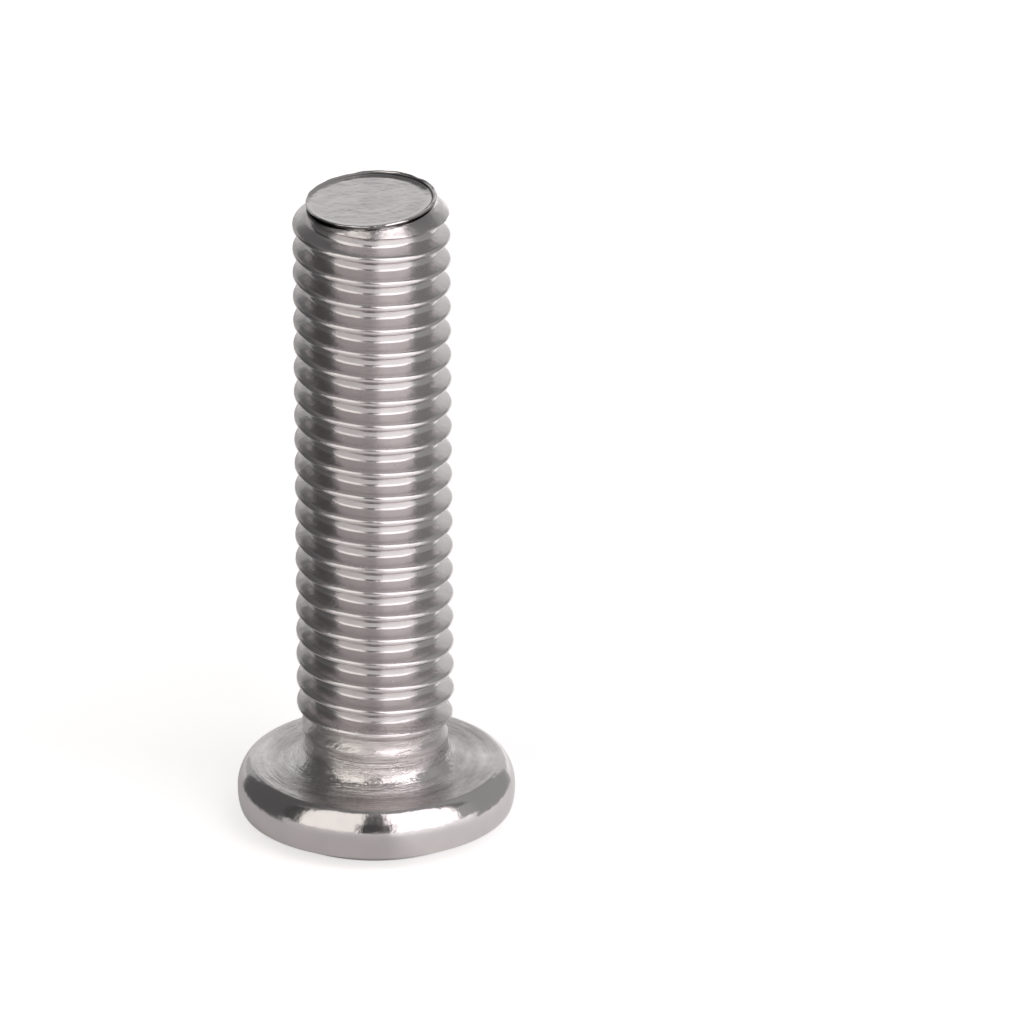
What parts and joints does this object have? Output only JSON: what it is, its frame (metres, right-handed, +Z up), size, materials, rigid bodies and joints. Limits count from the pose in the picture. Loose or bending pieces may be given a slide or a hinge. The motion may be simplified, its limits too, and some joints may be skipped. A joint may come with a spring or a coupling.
{
  "type": "hex socket furniture bolt",
  "caption": "Fully threaded steel bolt with a flat chamfered head and a hexagon socket, nickel plated, standing on its head.",
  "frame": {"origin": "centre of the head's flat face, on the ground plane that the bolt stands on", "axes": "+Z up the bolt's axis from the head to the threaded tip; +X and +Y across the head, with a corner of the hexagon socket on +X"},
  "size_m": [0.0108, 0.0108, 0.0262],
  "materials": {
    "plated_steel": "polished"
  },
  "bodies": {
    "root": {"bolt": "plated_steel"}
  },
  "joints": []
}
